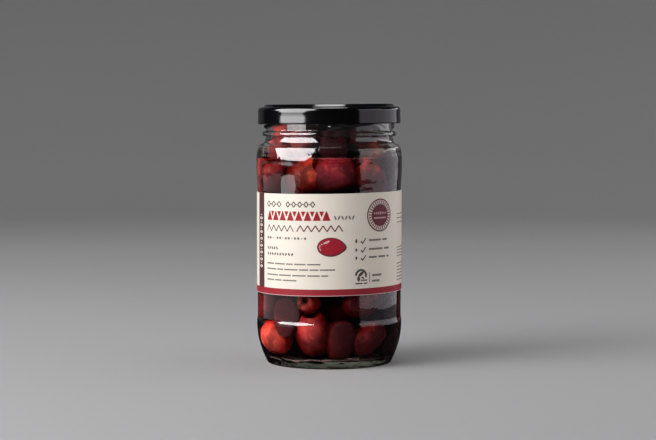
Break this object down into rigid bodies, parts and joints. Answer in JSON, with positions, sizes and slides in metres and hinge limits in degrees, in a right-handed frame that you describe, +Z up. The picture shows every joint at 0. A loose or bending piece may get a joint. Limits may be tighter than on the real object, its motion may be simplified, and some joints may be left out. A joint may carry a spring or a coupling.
{
  "type": "jar of olives",
  "caption": "Round glass jar with a twist-off metal lid and a wrap-round paper label, filled with pitted dark olives in brine.",
  "frame": {"origin": "middle of the jar's foot, in the plane it rests on", "axes": "+Z up along the jar's axis, -Y towards the front of the label, +X to the label's right"},
  "size_m": [0.0714, 0.0714, 0.1266],
  "materials": {
    "glass": "clear moulded glass with a faint green tint in its thick base, smooth and glossy",
    "lid": "tinplate lacquered glossy black",
    "label": "smooth satin label paper, cream with crimson and plum fields of print",
    "olives": "wet olive skin, dark wine red to rust"
  },
  "bodies": {
    "root": {"jar_glass": "glass", "lid": "lid", "label": "label", "olives": "olives"}
  },
  "joints": []
}
